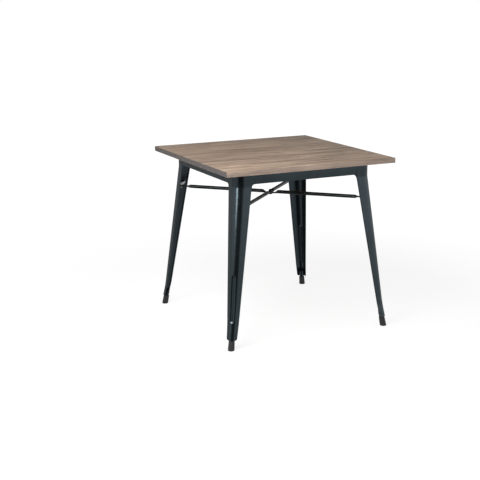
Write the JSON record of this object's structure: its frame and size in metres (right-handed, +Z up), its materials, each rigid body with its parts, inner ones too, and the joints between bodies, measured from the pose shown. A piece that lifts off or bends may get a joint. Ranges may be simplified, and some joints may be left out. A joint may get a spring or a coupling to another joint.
{
  "type": "bistro table",
  "caption": "Square bistro table: glued board top on a pressed-steel frame with splayed open-section legs, a crossed tube brace and ferruled feet.",
  "frame": {"origin": "on the floor under the centre of the top", "axes": "+Z up; the boards of the top run along X; -Y is the front side"},
  "size_m": [0.8, 0.8, 0.76],
  "materials": {
    "wood": "greyed brown, satin, open grain",
    "frame_paint": "gunmetal semi-gloss powder coat",
    "brace_paint": "near-black semi-gloss powder coat",
    "black_steel": "blackened steel",
    "zinc": "dull zinc plate",
    "rubber": "matt moulded"
  },
  "bodies": {
    "root": {"top_board_1": "wood", "top_board_2": "wood", "top_board_3": "wood", "top_board_4": "wood", "top_board_5": "wood", "top_board_6": "wood", "top_board_7": "wood", "apron_front": "frame_paint", "apron_right": "frame_paint", "apron_back": "frame_paint", "apron_left": "frame_paint", "leg_front_left": "frame_paint", "leg_front_right": "frame_paint", "leg_back_right": "frame_paint", "leg_back_left": "frame_paint", "leg_plate_front_left": "frame_paint", "leg_plate_front_right": "frame_paint", "leg_plate_back_right": "frame_paint", "leg_plate_back_left": "frame_paint", "corner_plate_front_left": "frame_paint", "corner_plate_front_right": "frame_paint", "corner_plate_back_right": "frame_paint", "corner_plate_back_left": "frame_paint", "foot_stub_front_left": "frame_paint", "foot_stub_front_right": "frame_paint", "foot_stub_back_right": "frame_paint", "foot_stub_back_left": "frame_paint", "ferrule_front_left": "rubber", "ferrule_front_right": "rubber", "ferrule_back_right": "rubber", "ferrule_back_left": "rubber", "brace_bracket_front_left": "zinc", "brace_bracket_front_right": "zinc", "brace_bracket_back_right": "zinc", "brace_bracket_back_left": "zinc", "brace_lower": "brace_paint", "brace_upper": "brace_paint", "brace_centre_bolt": "black_steel", "brace_centre_washer": "black_steel", "brace_centre_nut": "black_steel", "brace_end_bolts": "zinc", "brace_end_nuts": "zinc", "leg_studs": "zinc", "leg_nuts": "zinc", "top_screws": "zinc"}
  },
  "joints": []
}
